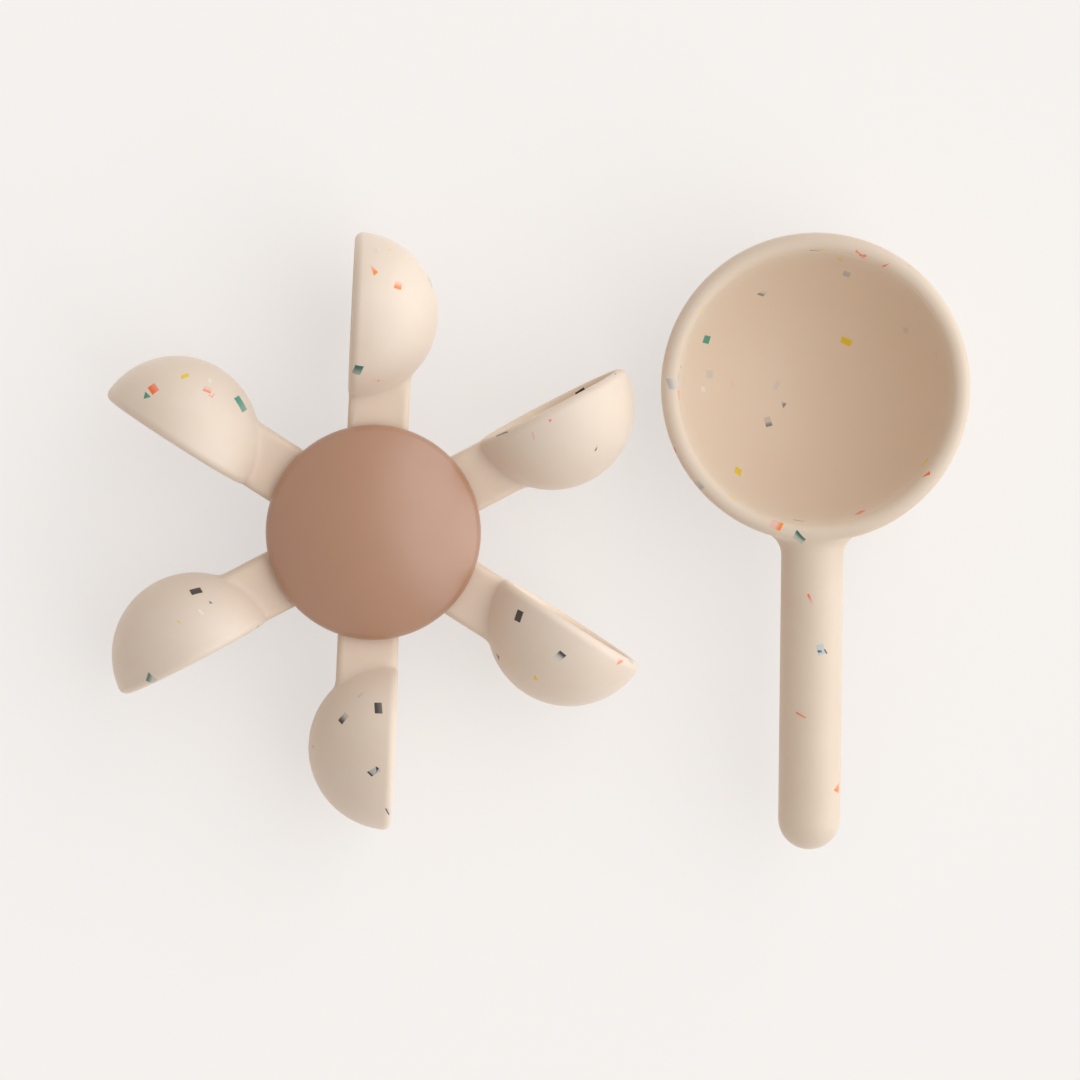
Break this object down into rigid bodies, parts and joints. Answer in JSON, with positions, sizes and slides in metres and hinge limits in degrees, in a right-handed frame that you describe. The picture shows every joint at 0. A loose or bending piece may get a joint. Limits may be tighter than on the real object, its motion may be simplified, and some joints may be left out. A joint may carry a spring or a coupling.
{
  "type": "bath water wheel",
  "caption": "Bath toy water wheel: round-bowled scoop arms on a hub under a domed cap, turning on a suction-cup base, with a loose long-handled pouring scoop beside it.",
  "frame": {"origin": "on the axle line, in the plane of the suction cup's lip", "axes": "+Z along the axle from the suction cup to the cap, +Y along the first scoop arm, +X towards the pouring scoop"},
  "size_m": [0.2405, 0.1736, 0.0532],
  "materials": {
    "cream_plastic": "satin, with coloured flakes moulded in",
    "clay_plastic": "satin",
    "clay_silicone": "soft matt silicone",
    "bearing_plastic": "smooth natural acetal",
    "stainless_steel": "bright"
  },
  "bodies": {
    "base": {"suction_cup": "clay_silicone", "suction_retainer": "clay_plastic", "base_screw_1": "stainless_steel", "base_screw_2": "stainless_steel", "base_screw_3": "stainless_steel", "base_housing": "clay_plastic", "axle_pin": "stainless_steel", "rear_washer": "bearing_plastic", "front_washer": "bearing_plastic", "push_nut": "stainless_steel", "hub_cap": "clay_plastic"},
    "wheel": {"hub_rear": "cream_plastic", "hub_front": "cream_plastic", "axle_bush": "bearing_plastic", "hub_screw_1": "stainless_steel", "hub_screw_2": "stainless_steel", "hub_screw_3": "stainless_steel", "scoop_arm_1": "cream_plastic", "scoop_arm_2": "cream_plastic", "scoop_arm_3": "cream_plastic", "scoop_arm_4": "cream_plastic", "scoop_arm_5": "cream_plastic", "scoop_arm_6": "cream_plastic"},
    "scoop": {"pouring_scoop": "cream_plastic"}
  },
  "joints": [
    {"name": "wheel_spin", "type": "hinge", "parent": "base", "child": "wheel", "pos_m": [0, 0, 0.03], "axis": [0, 0, 1], "continuous": true},
    {"name": "scoop_lift", "type": "slide", "parent": "base", "child": "scoop", "axis": [0, 0, 1], "range_m": [0, 0.12]}
  ]
}
